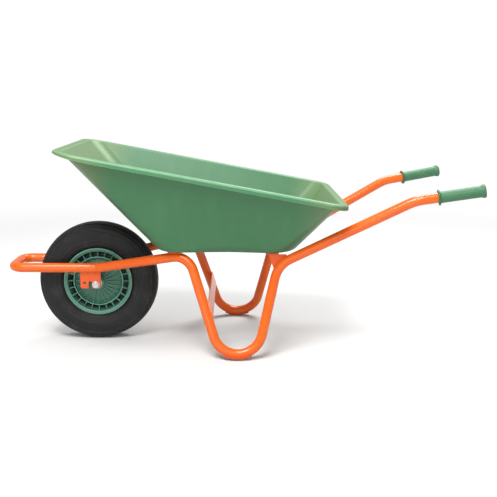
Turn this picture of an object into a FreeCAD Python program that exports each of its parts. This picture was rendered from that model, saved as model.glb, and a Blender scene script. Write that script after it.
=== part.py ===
"""Single-wheel garden barrow: a bent steel tube frame, a moulded plastic tray and a pneumatic wheel.

Millimetres. +X points from the wheel to the handles, +Z is up, and left is -Y, the left
hand of the person who pushes. While the pieces are made, X = 0 is at the axle. At the end
everything is moved so that the origin is on the ground under the middle of the whole barrow.
"""
import FreeCAD, Part
import math
import os

from FreeCAD import Vector

LEFT, RIGHT = -1, 1
SIDES = {"left": LEFT, "right": RIGHT}
X_AXIS, Y_AXIS, Z_AXIS = Vector(1, 0, 0), Vector(0, 1, 0), Vector(0, 0, 1)

# ---------------------------------------------------------------- driving dimensions
# Sizes that the rest is set out from
wheel_r = 190.5
tyre_width = 95.0
tube_d = 30.0                  # round steel tube, outside
tube_wall = 1.5
axle_d = 12.0

# Front of the frame: heights over the axle, which is a wheel's radius over the ground
bow_wheel_gap = 56.5           # tyre's front to the tube's near side
bow_side_gap = 10.5            # tyre's side to the tube's near side
bow_front_x = -(wheel_r + bow_wheel_gap + tube_d / 2)
bow_half_width = tyre_width / 2 + bow_side_gap + tube_d / 2
bow_z = wheel_r + 53.5
bow_corner_r = 34.0
kink_x = 5.0                   # mitred, welded joint between the bow and the two side rails
rail_top_z = wheel_r + 113.5   # where the rail line would meet the front leg line
rail_top_r = 62.0

# Legs: each pair of leg runs and its foot bend lie in one plane, which leans outward
leg_splay = 17.0               # degrees that this plane leans out from vertical
foot_x = wheel_r + 257.5
rail_top_half_width = 152.4    # where the rail line would meet the front leg line
foot_bend_r = 76.0
front_leg_lean = 17.6          # degrees from the leg plane's own upright
rear_leg_lean = 12.8
rear_bend_z = wheel_r + 85.5   # where the rear leg line would meet the handle line
rear_bend_r = 80.0

# Handles and grips
handle_bend_x = wheel_r + 769.5
handle_bend_half_width = 250.0
handle_bend_z = wheel_r + 297.0
handle_bend_r = 140.0
handle_end_x = wheel_r + 964.2
handle_end_half_width = 275.0
handle_end_z = wheel_r + 331.0
grip_length = 134.0
grip_d = tube_d + 4.0
grip_guard_d = grip_d + 12.0
grip_guard_t = 5.0
grip_end_d = grip_d + 5.0
grip_end_t = 7.0
grip_cap_t = 4.0               # closed end in front of the tube's end
grip_clearance = 0.05          # radial, between the tube and the grip

# Plates welded to the tube
weld_seat = 1.0                # how deep a plate's seat is cut to the tube's round
shoe_t = 3.0
shoe_wrap = 62.0               # degrees each way round the tube
shoe_reach = 25.0              # degrees each way along the foot bend
shoe_flat = 0.6                # ground off to a small flat sole
brace_z = 142.0
brace_width = 42.0
brace_t = 3.0
brace_overhang = 10.0          # past the leg's centre line, each side
strap_width = 40.0
strap_t = 3.0
strap_from_floor_front = 48.0  # strap's middle from the tray floor's front edge
strap_from_floor_rear = 70.0
gusset_t = 4.0
gusset_back = 44.0             # how far a gusset runs behind the rear strap's middle
gusset_front = 12.0

# Axle brackets and axle
bracket_t = 4.0
bracket_front_x = -49.0
bracket_rear_x = 15.0
bracket_below_axle = 12.5
bracket_corner_r = 7.0
notch_x = -18.0
notch_width = 11.0
notch_depth = 23.0
spare_hole_x = -36.0
spare_hole_above_axle = 5.0
spare_hole_d = 8.6
axle_hole_clearance = 0.25     # radial, bracket hole and spacers
axle_running_clearance = 0.06  # radial, in the hub bushes
axle_washer_d = 2 * axle_d
axle_washer_t = 2.5
hex_head_af = 1.5 * axle_d
hex_head_t = 7.5
axle_nut_t = 10.0
axle_thread_past_nut = 3.0

# Wheel
tyre_wall = 7.0
tyre_profile = (               # shares: height from rim lip to tread, half width
    (0.110, 0.884),
    (0.288, 0.983),
    (0.472, 1.000),
    (0.632, 0.979),
    (0.779, 0.905),
    (0.896, 0.758),
    (0.963, 0.537),
    (0.991, 0.284),
)
bead_gap = 1.2                 # tyre's bead to the inside of the rim's lip
bead_rise = 0.3                # over the rim's seat
bead_toe_clearance = 0.5       # bead's toe to the start and the top of the rim's seat
bead_shoulder_rise = 2.0       # over the rim's lip
bead_shoulder_out = 0.5        # outside the bead's side
bead_inside_in = 0.6           # share of the wall that the bead's inside stands in
bead_inside_up = 0.2           # share of the wall that the bead's inside stands up
tread_groove_depth = 4.0
tread_groove_width = 5.0
tread_groove_places = (9.0, 27.0)
tread_groove_flare = 0.4       # each side, wider at the top and twice this narrower below
tread_crown_r = 130.0
inner_tube_wall = 2.0
inner_tube_gap = 0.4
inner_tube_belly = ((4.0, 12.0), (7.0, 21.0))   # height over the rim's seat, half width
inner_tube_side_rise = 5.0     # over the rim's lip, where the tube starts to follow the tyre
rim_lip_r = 109.0
rim_half_width = 38.0
rim_seat_r = 101.0
rim_seat_start_y = 22.0        # where the tyre's bead toe sits
rim_well_r = 92.0
rim_well_half_y = 14.0
rim_wall = 3.5
pocket_floor_t = 3.0
pocket_ring_t = 3.0
pocket_ring_recess = 8.0       # ring's top edge under the rim's outer face
pocket_ring_r = 80.0
pocket_count = 24
pocket_rib_t = 2.2
web_rib_t = 1.8
web_rib_height = 6.0
web_ring_y = 14.0              # outer face of the cone web at the pocket ring
web_hub_y = 35.0               # outer face of the cone web at the hub
web_t = 4.0
bush_d = axle_d + 10.0
hub_half_length = 50.0
hub_r = bush_d / 2 + 9.0
hub_core_r = bush_d / 2 + 6.0  # hub's wall where the two halves meet
bush_length = 26.0
bush_flange_d = bush_d + 8.0
bush_flange_t = 3.0
spacer_d = axle_d + 8.0
spacer_end_gap = 0.5           # bush flange to spacer
valve_d = 8.0
valve_length = 36.0
valve_tilt = 35.0              # degrees out from the wheel's plane
valve_pocket = 4               # the valve comes out in this pocket, counted round from +X
valve_base_rise = 1.0          # valve's foot over the rim's well
valve_cap_d = 10.5
valve_cap_length = 9.0
valve_root_length = 20.0       # inside the air tube
valve_root_y = 9.0
valve_hole_clearance = 0.5
valve_window_clearance = 1.0

# Tray
tray_wall = 4.0
floor_front_x = wheel_r + 15.5
floor_rear_x = floor_front_x + 416.0
floor_half_width = 172.0
floor_front_corner_r = 55.0
floor_rear_corner_r = 75.0
floor_edge_r = 42.0
rim_front_x = floor_front_x - 293.5
rim_rear_x = floor_rear_x + 150.0
rim_front_z = wheel_r + 438.0  # top of the rim at its front edge
rim_rear_z = wheel_r + 283.0
rim_half_y = 295.0
rim_front_corner_r = 80.0
rim_rear_corner_r = 62.0
flange_front = 20.0
flange_side = 22.0
flange_rear = 22.0
rim_lip_depth = 16.0
rim_lip_front_depth = 7.0      # the lip gets shallower round the front
rim_lip_taper = 95.0           # length of that change along the side

# Tray bolts
bolt_d = 8.0
bolt_hole_clearance = 0.5      # radial
bolt_half_spacing = 95.0
bolt_head_d = 20.0
bolt_head_h = 4.5
bolt_past_nut = 3.0
tray_washer_d = 28.0
tray_washer_t = 1.6
nut_af = 13.0
nut_t = 6.5

# ---------------------------------------------------------------- derived sizes
tube_r = tube_d / 2
foot_z = tube_r + shoe_t - shoe_flat
bracket_inner_y = bow_half_width - bracket_t / 2
bracket_outer_y = bow_half_width + bracket_t / 2
axle_r = axle_d / 2
axle = Vector(0, 0, wheel_r)
front_strap_x = floor_front_x + strap_from_floor_front
rear_strap_x = floor_rear_x - strap_from_floor_rear
splay = math.radians(leg_splay)
foot_half_width = rail_top_half_width + (rail_top_z - foot_z) * math.tan(splay)


def leg_point(side, start_x, lean, height):
    """A point at a height on the leg line that leans along X by lean from a foot corner."""
    rise = height - foot_z
    along = rise / math.cos(splay) * math.tan(lean)
    return Vector(start_x + along, side * (foot_half_width - rise * math.tan(splay)), height)


def rail_route(side):
    """Corner points of a side rail from its mitre to the handle's end."""
    front_lean = math.radians(front_leg_lean)
    rear_lean = math.radians(rear_leg_lean)
    front_foot_x = foot_x - foot_bend_r * math.tan(math.pi / 4 - front_lean / 2)
    rear_foot_x = foot_x + foot_bend_r * math.tan(math.pi / 4 - rear_lean / 2)
    return [
        Vector(kink_x, side * bow_half_width, bow_z),
        leg_point(side, front_foot_x, -front_lean, rail_top_z),
        Vector(front_foot_x, side * foot_half_width, foot_z),
        Vector(rear_foot_x, side * foot_half_width, foot_z),
        leg_point(side, rear_foot_x, rear_lean, rear_bend_z),
        Vector(handle_bend_x, side * handle_bend_half_width, handle_bend_z),
        Vector(handle_end_x, side * handle_end_half_width, handle_end_z),
    ]


rail_radii = [rail_top_r, foot_bend_r, foot_bend_r, rear_bend_r, handle_bend_r]


# ---------------------------------------------------------------- shape helpers
def unit(vector):
    return Vector(vector).normalize()


def join(pieces):
    """One solid from pieces that meet or overlap."""
    joined = pieces[0].multiFuse(pieces[1:]).removeSplitter()
    solids = joined.Solids
    return solids[0] if len(solids) == 1 else joined


def ring_face(centre, direction, outer_r, inner_r):
    """A flat disc, or a flat ring where inner_r isn't 0, square to direction."""
    disc = Part.Face(Part.Wire(Part.makeCircle(outer_r, centre, direction)))
    if inner_r == 0:
        return disc
    return disc.cut(Part.Face(Part.Wire(Part.makeCircle(inner_r, centre, direction))))


def bent_tube(points, radii, outer_r, inner_r):
    """A tube of straight runs joined by bends that are tangent to them."""
    pieces = []
    start = points[0]
    for before, corner, after, radius in zip(points, points[1:], points[2:], radii):
        back, ahead = unit(before - corner), unit(after - corner)
        turn = math.pi - back.getAngle(ahead)
        reach = radius * math.tan(turn / 2)
        bend_start, bend_end = corner + back * reach, corner + ahead * reach
        centre = corner + unit(back + ahead) * (radius / math.cos(turn / 2))
        if (bend_start - start).Length > 1e-4:
            run = ring_face(start, back * -1, outer_r, inner_r)
            pieces.append(run.extrude(bend_start - start))
        axis = (bend_start - centre).cross(bend_end - centre)
        section = ring_face(bend_start, back * -1, outer_r, inner_r)
        pieces.append(section.revolve(centre, axis, math.degrees(turn)))
        start = bend_end
    last = ring_face(start, points[-1] - start, outer_r, inner_r)
    pieces.append(last.extrude(points[-1] - start))
    solids = [solid for piece in pieces for solid in piece.Solids]
    return join(solids)


def beyond(point, direction, size=400.0):
    """A block that fills the space on the side of a plane that direction points to."""
    block = Part.makeBox(size, size, size, Vector(-size / 2, -size / 2, 0))
    block.Placement = FreeCAD.Placement(point, FreeCAD.Rotation(Z_AXIS, direction))
    return block


def turned(profile, base, direction):
    """A solid turned about an axis from (radius, height) corners, height along direction."""
    corners = [Vector(radius, 0, height) for radius, height in profile]
    face = Part.Face(Part.makePolygon(corners + corners[:1]))
    solid = face.revolve(Vector(), Z_AXIS, 360).Solids[0]
    solid.Placement = FreeCAD.Placement(base, FreeCAD.Rotation(Z_AXIS, direction))
    return solid


def pipe(outer_r, inner_r, base, direction, length):
    """A straight round sleeve."""
    return turned([(inner_r, 0), (outer_r, 0), (outer_r, length), (inner_r, length)], base, direction)


def hexagon(across_flats, height, base, direction):
    """A hexagonal prism."""
    corner_r = across_flats / math.sqrt(3)
    corners = [Vector(corner_r * math.cos(math.radians(60 * k)), corner_r * math.sin(math.radians(60 * k)), 0)
               for k in range(7)]
    prism = Part.Face(Part.makePolygon(corners)).extrude(Vector(0, 0, height))
    prism.Placement = FreeCAD.Placement(base, FreeCAD.Rotation(Z_AXIS, direction))
    return prism


def rounded_outline(low_x, high_x, half_y, low_r, high_r, placement):
    """A rectangle with round corners of low_r at its low X end and high_r at the other."""
    def arc(centre_x, side, radius, start):
        circle = Part.Circle(Vector(centre_x, side * (half_y - radius), 0), Z_AXIS, radius)
        return Part.Arc(circle, math.radians(start), math.radians(start + 90)).toShape()

    def line(x0, y0, x1, y1):
        return Part.LineSegment(Vector(x0, y0, 0), Vector(x1, y1, 0)).toShape()

    edges = [
        line(low_x + low_r, -half_y, high_x - high_r, -half_y),
        arc(high_x - high_r, -1, high_r, 270),
        line(high_x, -half_y + high_r, high_x, half_y - high_r),
        arc(high_x - high_r, 1, high_r, 0),
        line(high_x - high_r, half_y, low_x + low_r, half_y),
        arc(low_x + low_r, 1, low_r, 90),
        line(low_x, half_y - low_r, low_x, -half_y + low_r),
        arc(low_x + low_r, -1, low_r, 180),
    ]
    wire = Part.Wire(edges)
    wire.Placement = placement
    return wire


# ---------------------------------------------------------------- frame tubes
routes = {name: rail_route(side) for name, side in SIDES.items()}


def mitre_normal(route):
    """The mitre plane's normal at the joint, pointing to the rail."""
    return unit(X_AXIS + unit(route[1] - route[0]))


def front_bow(inner_r):
    """The tube that goes round the front of the wheel, cut square to its mitres."""
    overrun = 2 * tube_d
    corners = [
        Vector(kink_x + overrun, -bow_half_width, bow_z),
        Vector(bow_front_x, -bow_half_width, bow_z),
        Vector(bow_front_x, bow_half_width, bow_z),
        Vector(kink_x + overrun, bow_half_width, bow_z),
    ]
    bow = bent_tube(corners, [bow_corner_r, bow_corner_r], tube_r, inner_r)
    for route in routes.values():
        bow = bow.cut(beyond(route[0], mitre_normal(route), 4 * tube_d))
    return bow.Solids[0]


def side_rail(route, inner_r):
    """The tube that is rail, both legs and handle of one side."""
    first, last = route[0], route[-1]
    start = first - unit(route[1] - first) * (2 * tube_d)
    end = last - unit(last - route[-2]) * grip_cap_t
    rail = bent_tube([start] + route[1:-1] + [end], rail_radii, tube_r, inner_r)
    return rail.cut(beyond(first, mitre_normal(route) * -1, 4 * tube_d)).Solids[0]


parts = {}
parts["front_bow"] = front_bow(tube_r - tube_wall)
for name, route in routes.items():
    parts["side_rail_" + name] = side_rail(route, tube_r - tube_wall)

bow_body = front_bow(0)
rail_bodies = {name: side_rail(route, 0) for name, route in routes.items()}
tube_bodies = [bow_body] + list(rail_bodies.values())


def seated(plate):
    """A plate with its seats cut to the round of the tubes that it is welded to."""
    return plate.cut(tube_bodies).Solids[0]


def tube_top(at_x, width):
    """Height of the highest point of the side rails over a stretch of X."""
    slab = Part.makeBox(width, 4 * foot_half_width, handle_end_z,
                        Vector(at_x - width / 2, -2 * foot_half_width, 0))
    return rail_bodies["left"].common(slab).optimalBoundingBox(False).ZMax


# ---------------------------------------------------------------- feet, brace, straps and gussets
def foot_shoe(side):
    """A plate pressed round the underside of the foot bend, ground flat where it stands."""
    bottom = Vector(foot_x, side * foot_half_width, foot_z)
    inward = Vector(0, -side * math.sin(splay), math.cos(splay))
    across = X_AXIS.cross(inward)
    outer_r = tube_r + shoe_t

    def on_round(radius, degrees):
        angle = math.radians(degrees)
        return bottom - inward * (radius * math.cos(angle)) + across * (radius * math.sin(angle))

    def round_edge(radius, start, end):
        return Part.Arc(on_round(radius, start), on_round(radius, 0), on_round(radius, end)).toShape()

    section = Part.Face(Part.Wire([
        round_edge(outer_r, -shoe_wrap, shoe_wrap),
        Part.makeLine(on_round(outer_r, shoe_wrap), on_round(tube_r, shoe_wrap)),
        round_edge(tube_r, shoe_wrap, -shoe_wrap),
        Part.makeLine(on_round(tube_r, -shoe_wrap), on_round(outer_r, -shoe_wrap)),
    ]))
    bend_centre = bottom + inward * foot_bend_r
    section.rotate(bend_centre, across, -shoe_reach)
    shoe = section.revolve(bend_centre, across, 2 * shoe_reach)
    return shoe.Solids[0].cut(beyond(Vector(foot_x, side * foot_half_width, 0), Z_AXIS * -1)).Solids[0]


def leg_brace():
    """A flat bar welded across the rear faces of the two front legs."""
    top, foot = routes["left"][1], routes["left"][2]
    share = (brace_z - foot.z) / (top.z - foot.z)
    on_leg = foot + (top - foot) * share
    upward = unit(Vector(top.x - foot.x, 0, top.z - foot.z))
    rearward = Vector(upward.z, 0, -upward.x)
    half_length = abs(on_leg.y) + brace_overhang
    corner = Vector(on_leg.x, -half_length, brace_z) - upward * (brace_width / 2)
    face = Part.Face(Part.makePolygon([
        corner,
        corner + upward * brace_width,
        corner + upward * brace_width + Y_AXIS * (2 * half_length),
        corner + Y_AXIS * (2 * half_length),
        corner,
    ]))
    face.translate(rearward * (tube_r - weld_seat))
    return seated(face.extrude(rearward * brace_t))


strap_under_z = tube_top(front_strap_x, strap_width) - weld_seat
floor_z = strap_under_z + strap_t


def rail_half_width_at(x):
    """Half of the frame's width at an X on the straight run behind the mitre."""
    start, top = routes["right"][0], routes["right"][1]
    return start.y + (top.y - start.y) * (x - start.x) / (top.x - start.x)


front_strap_half = rail_half_width_at(front_strap_x) + tube_r
rear_strap_half = abs(routes["right"][4].y) + gusset_t / 2


def cross_strap(middle_x, half_length):
    """A flat bar under the tray, drilled for two tray bolts."""
    strap = Part.makeBox(strap_width, 2 * half_length, strap_t,
                         Vector(middle_x - strap_width / 2, -half_length, strap_under_z))
    for side in SIDES.values():
        hole_base = Vector(middle_x, side * bolt_half_spacing, strap_under_z - strap_t)
        strap = strap.cut(Part.makeCylinder(bolt_d / 2 + bolt_hole_clearance, 3 * strap_t, hole_base))
    return strap


def tray_gusset(side):
    """An upright plate that carries the rear strap on the rear bend."""
    middle_y = side * abs(routes["right"][4].y)
    low_z = rear_bend_z - tube_d
    corners = [
        Vector(rear_strap_x - gusset_front, middle_y, strap_under_z),
        Vector(rear_strap_x + gusset_back, middle_y, strap_under_z),
        Vector(rear_strap_x + gusset_back, middle_y, rear_bend_z),
        Vector(rear_strap_x + gusset_front, middle_y, low_z),
    ]
    plate = Part.Face(Part.makePolygon(corners + corners[:1]))
    plate.translate(Vector(0, -gusset_t / 2, 0))
    solids = plate.extrude(Vector(0, gusset_t, 0)).cut(tube_bodies).Solids
    return max(solids, key=lambda solid: solid.BoundBox.ZMax)


parts["leg_brace"] = leg_brace()
parts["front_cross_strap"] = seated(cross_strap(front_strap_x, front_strap_half))
parts["rear_cross_strap"] = seated(cross_strap(rear_strap_x, rear_strap_half))
for name, side in SIDES.items():
    parts["foot_shoe_" + name] = foot_shoe(side)
    parts["tray_gusset_" + name] = tray_gusset(side)


# ---------------------------------------------------------------- handle grips
def grip(route):
    """A moulded sleeve with a guard ring, closed at its end."""
    last = route[-1]
    direction = unit(last - route[-2])
    bore_r = tube_r + grip_clearance
    shoulder = 2.0
    outer = [
        (grip_guard_d / 2 - shoulder, 0),
        (grip_guard_d / 2, shoulder),
        (grip_guard_d / 2, grip_guard_t),
        (grip_d / 2 + shoulder, grip_guard_t + shoulder),
        (grip_d / 2, grip_guard_t + 3 * shoulder),
        (grip_d / 2, grip_length - grip_end_t - 3 * shoulder),
        (grip_end_d / 2, grip_length - grip_end_t),
        (grip_end_d / 2, grip_length - shoulder),
        (grip_end_d / 2 - shoulder, grip_length),
        (0, grip_length),
    ]
    bore = [(0, grip_length - grip_cap_t), (bore_r, grip_length - grip_cap_t), (bore_r, 0)]
    return turned(outer + bore, last - direction * grip_length, direction)


for name, route in routes.items():
    parts["grip_" + name] = grip(route)


# ---------------------------------------------------------------- axle brackets and axle
def axle_bracket(side):
    """A plate welded under the bow, with the axle's hole, an open notch and a spare hole."""
    low_z = wheel_r - bracket_below_axle
    width = bracket_rear_x - bracket_front_x
    plate = Part.makeBox(width, bracket_t, bow_z - low_z,
                         Vector(bracket_front_x, side * bow_half_width - bracket_t / 2, low_z))
    lower_corners = [edge for edge in plate.Edges
                     if edge.BoundBox.ZMax < low_z + 1e-3 and edge.BoundBox.XLength < 1e-3]
    plate = plate.makeFillet(bracket_corner_r, lower_corners)

    def drilled(solid, x, z, radius):
        base = Vector(x, side * bow_half_width - bracket_t, z)
        return solid.cut(Part.makeCylinder(radius, 2 * bracket_t, base, Y_AXIS))

    plate = drilled(plate, 0, wheel_r, axle_r + axle_hole_clearance)
    plate = drilled(plate, spare_hole_x, wheel_r + spare_hole_above_axle, spare_hole_d / 2)
    notch_round_z = low_z + notch_depth - notch_width / 2
    plate = drilled(plate, notch_x, notch_round_z, notch_width / 2)
    plate = plate.cut(Part.makeBox(notch_width, 2 * bracket_t, notch_depth, Vector(
        notch_x - notch_width / 2, side * bow_half_width - bracket_t, notch_round_z - notch_depth)))
    return seated(plate)


def outward(side, distance):
    """A point on the axle's line and the direction away from the wheel."""
    return Vector(0, side * distance, wheel_r), Y_AXIS * side


washer_outer_y = bracket_outer_y + axle_washer_t


def axle_bolt():
    """Hexagon head bolt that is the wheel's fixed axle, with its head on the left."""
    tip_y = washer_outer_y + axle_nut_t + axle_thread_past_nut
    shank = Part.makeCylinder(axle_r, washer_outer_y + tip_y, Vector(0, -washer_outer_y, wheel_r), Y_AXIS)
    return join([shank, hexagon(hex_head_af, hex_head_t, *outward(LEFT, washer_outer_y))])


parts["axle_bolt"] = axle_bolt()
nut = hexagon(hex_head_af, axle_nut_t, *outward(RIGHT, washer_outer_y))
parts["axle_nut"] = nut.cut(Part.makeCylinder(axle_r, 4 * tyre_width, axle - Y_AXIS * 2 * tyre_width, Y_AXIS))
washers = [pipe(axle_washer_d / 2, axle_r + axle_hole_clearance,
                *outward(side, bracket_outer_y), axle_washer_t) for side in SIDES.values()]
parts["axle_washers"] = Part.makeCompound(washers)
spacer_start_y = hub_half_length + bush_flange_t + spacer_end_gap
for name, side in SIDES.items():
    parts["axle_bracket_" + name] = axle_bracket(side)
    parts["axle_spacer_" + name] = pipe(spacer_d / 2, axle_r + axle_hole_clearance,
                                        *outward(side, spacer_start_y), bracket_inner_y - spacer_start_y)


# ---------------------------------------------------------------- wheel
def round_wheel(profile, side=RIGHT):
    """A solid turned about the axle from (radius, distance to that side) corners."""
    return turned(profile, axle, Y_AXIS * side)


def radial_plate(profile, thickness, angle, side):
    """A thin plate in a radial plane of the wheel, at an angle round the axle from +X."""
    corners = [Vector(radius, side * y, 0) for radius, y in profile]
    plate = Part.Face(Part.makePolygon(corners + corners[:1]))
    plate.translate(Vector(0, 0, -thickness / 2))
    plate = plate.extrude(Vector(0, 0, thickness))
    plate.rotate(Vector(), Y_AXIS, -angle)
    plate.translate(axle)
    return plate


bush_r = bush_d / 2
seat_under_r = rim_seat_r - rim_wall
well_under_r = rim_well_r - rim_wall
ring_inner_r = pocket_ring_r - pocket_ring_t
lip_inner_y = rim_half_width - rim_wall
ring_top_y = rim_half_width - pocket_ring_recess


def valve_line():
    """The base point and the direction of the valve, which leans out to the right."""
    tilt = math.radians(valve_tilt)
    angle = 2 * math.pi * (valve_pocket + 0.5) / pocket_count
    outward_of_wheel = Vector(math.cos(angle), 0, math.sin(angle))
    base = axle + outward_of_wheel * (rim_well_r + valve_base_rise) + Y_AXIS * valve_root_y
    return base, unit(Y_AXIS * math.sin(tilt) - outward_of_wheel * math.cos(tilt))


def rim_half(side):
    """One moulded half of the rim: lip, tyre seat, ring of pockets, ribbed cone web and hub."""
    bite = 1.0      # how deep a rib's edges run into the walls that it joins
    shell = round_wheel([
        (bush_r, 0),
        (hub_core_r, 0),
        (hub_core_r, web_hub_y - web_t),
        (ring_inner_r - bite, web_ring_y - web_t),
        (ring_inner_r - bite, 0),
        (rim_well_r, 0),
        (rim_well_r, rim_well_half_y),
        (rim_seat_r - bite, rim_seat_start_y),
        (rim_seat_r, lip_inner_y - bite),
        (rim_lip_r, lip_inner_y),
        (rim_lip_r, rim_half_width),
        (rim_lip_r - rim_wall, rim_half_width),
        (seat_under_r + bite, rim_half_width - rim_wall / 2),
        (seat_under_r, rim_seat_start_y + rim_wall / 2),
        (well_under_r, rim_well_half_y + bite),
        (well_under_r, pocket_floor_t),
        (pocket_ring_r, pocket_floor_t),
        (pocket_ring_r, ring_top_y),
        (ring_inner_r, ring_top_y),
        (ring_inner_r, web_ring_y),
        (hub_r, web_hub_y),
        (hub_r, hub_half_length),
        (bush_r, hub_half_length),
    ], side)
    pocket_rib = [
        (pocket_ring_r - bite, pocket_floor_t - bite),
        (well_under_r + bite, pocket_floor_t - bite),
        (well_under_r + bite, rim_well_half_y),
        (seat_under_r + bite, rim_seat_start_y + bite),
        (seat_under_r + bite, ring_top_y + bite),
        (pocket_ring_r - bite, ring_top_y - bite),
    ]
    web_rib = [
        (hub_r - bite, web_hub_y - 2 * bite),
        (hub_r - bite, web_hub_y + web_rib_height),
        (pocket_ring_r - bite, web_ring_y + web_rib_height),
        (pocket_ring_r - bite, web_ring_y - 2 * bite),
    ]
    ribs = []
    for k in range(pocket_count):
        angle = 360.0 / pocket_count * k
        ribs.append(radial_plate(pocket_rib, pocket_rib_t, angle, side))
        ribs.append(radial_plate(web_rib, web_rib_t, angle, side))
    half = join([shell] + ribs)
    if side == RIGHT:
        base, direction = valve_line()
        hole = Part.makeCylinder(valve_d / 2 + valve_hole_clearance, valve_length,
                                 base - direction * valve_d, direction)
        window = Part.makeCylinder(valve_cap_d / 2 + valve_window_clearance, valve_length,
                                   base + direction * (2 * rim_wall), direction)
        half = half.cut([hole, window]).Solids[0]
    return half


def tyre_outline(inset):
    """Corners of the tyre's section, from bead to crown on one side, moved in by inset."""
    half = tyre_width / 2 - inset
    top = wheel_r - inset
    bead_y = lip_inner_y - bead_gap - inset * bead_inside_in
    bead = [
        (rim_seat_r + bead_rise + inset * bead_inside_up, bead_y),
        (rim_lip_r + bead_shoulder_rise, bead_y + bead_shoulder_out),
    ]
    wall = [(rim_lip_r + share_up * (top - rim_lip_r), share_out * half)
            for share_up, share_out in tyre_profile]
    return bead + wall, (top, 0)


def mirrored_outline(side_points, crown):
    """A whole section from one side's points and the point on the middle line."""
    return side_points + [crown] + [(radius, -y) for radius, y in reversed(side_points)]


def tyre():
    """The tyre's carcass with its tread ribs, open towards the rim."""
    outer = mirrored_outline(*tyre_outline(0))
    inner = mirrored_outline(*tyre_outline(tyre_wall))
    bead_toe = (rim_seat_r - bead_toe_clearance, rim_seat_start_y + bead_toe_clearance)
    toe_left = (bead_toe[0], -bead_toe[1])
    solid = round_wheel([bead_toe] + outer + [toe_left] + list(reversed(inner)))
    grooves = []
    for place in tread_groove_places:
        for side in SIDES.values():
            near, far = place - tread_groove_width / 2, place + tread_groove_width / 2
            depth_r = wheel_r - tread_groove_depth - place * place / (2 * tread_crown_r)
            grooves.append(round_wheel([
                (depth_r, near + 2 * tread_groove_flare),
                (wheel_r + 1, near - tread_groove_flare),
                (wheel_r + 1, far + tread_groove_flare),
                (depth_r, far - 2 * tread_groove_flare),
            ], side))
    return solid.cut(grooves).Solids[0]


def inner_tube():
    """The air tube that fills the tyre, with the hole that its valve is moulded into."""
    gap = tyre_wall + inner_tube_gap

    def section(inset):
        side_points, crown = tyre_outline(gap + inset)
        belly = [(rim_seat_r + rise + inset, half - inset) for rise, half in inner_tube_belly]
        sides = [point for point in side_points if point[0] > rim_lip_r + inner_tube_side_rise]
        return mirrored_outline(belly + sides, crown)

    skin = round_wheel(section(0)).cut(round_wheel(section(inner_tube_wall)))
    base, direction = valve_line()
    hole = Part.makeCylinder(valve_d / 2, 2 * valve_root_length, base - direction * (1.5 * valve_root_length),
                             direction)
    return skin.cut(hole).Solids[0]


def valve_stem():
    """The rubber covered valve, from inside the air tube out through the rim."""
    base, direction = valve_line()
    root = base - direction * valve_root_length
    return Part.makeCylinder(valve_d / 2, valve_root_length + valve_length, root, direction)


def valve_cap():
    """A screwed cap over the valve's tip."""
    base, direction = valve_line()
    tip = base + direction * valve_length
    overlap = valve_cap_length - 2.0
    return turned([(valve_d / 2, 0), (valve_cap_d / 2, 0), (valve_cap_d / 2, valve_cap_length),
                   (0, valve_cap_length), (0, overlap), (valve_d / 2, overlap)],
                  tip - direction * overlap, direction)


def hub_bush(side):
    """A flanged plastic bush pressed into the hub, running on the axle."""
    bore_r = axle_r + axle_running_clearance
    inner_end = hub_half_length - bush_length
    flange_end = hub_half_length + bush_flange_t
    return round_wheel([
        (bore_r, inner_end), (bush_r, inner_end), (bush_r, hub_half_length),
        (bush_flange_d / 2, hub_half_length), (bush_flange_d / 2, flange_end), (bore_r, flange_end),
    ], side)


parts["tyre"] = tyre()
parts["inner_tube"] = inner_tube()
parts["valve_stem"] = valve_stem()
parts["valve_cap"] = valve_cap()
for name, side in SIDES.items():
    parts["rim_half_" + name] = rim_half(side)
    parts["hub_bush_" + name] = hub_bush(side)


# ---------------------------------------------------------------- tray
rim_slope = math.atan2(rim_front_z - rim_rear_z, rim_rear_x - rim_front_x)


def on_rim_plane(depth):
    """Placement of outlines drawn flat, at a depth under the top of the sloping rim."""
    turn = FreeCAD.Rotation(Y_AXIS, math.degrees(rim_slope))
    down = turn.multVec(Vector(0, 0, -depth))
    return FreeCAD.Placement(Vector(rim_front_x, 0, rim_front_z) + down, turn)


rim_run = (rim_rear_x - rim_front_x) / math.cos(rim_slope)


def rim_outline(inset_front, inset_side, inset_rear, depth):
    """The rim's outline moved in by an inset at each side, drawn along the slope."""
    return rounded_outline(inset_front, rim_run - inset_rear, rim_half_y - inset_side,
                           rim_front_corner_r - inset_side, rim_rear_corner_r - inset_side,
                           on_rim_plane(depth))


def tray_bowl(wall, above):
    """The space inside the tray's skin, drawn in by wall, from the floor to above the rim."""
    floor_place = FreeCAD.Placement(Vector(0, 0, floor_z + wall), FreeCAD.Rotation())
    skirt = 1.2 * wall
    floor = rounded_outline(floor_front_x + skirt, floor_rear_x - skirt, floor_half_width - skirt,
                            floor_front_corner_r - wall, floor_rear_corner_r - wall, floor_place)
    mouth = rim_outline(flange_front + 1.4 * wall, flange_side + 1.1 * wall, flange_rear + 1.4 * wall, 0)
    bowl = Part.makeLoft([floor, mouth], True, True)
    floor_edges = [edge for edge in bowl.Edges
                   if edge.BoundBox.ZMax < floor_z + wall + 1e-3]
    bowl = bowl.makeFillet(floor_edge_r - wall, floor_edges)
    if above > 0:
        lid = Part.Face(mouth).extrude(on_rim_plane(0).Rotation.multVec(Vector(0, 0, above)))
        bowl = bowl.fuse(lid)
    return bowl


def rim_skin(depth_from, depth_to, inset):
    """A slab of the rim between two depths under its top."""
    down = on_rim_plane(0).Rotation.multVec(Vector(0, 0, depth_from - depth_to))
    return Part.Face(rim_outline(inset, inset, inset, depth_from)).extrude(down)


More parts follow.
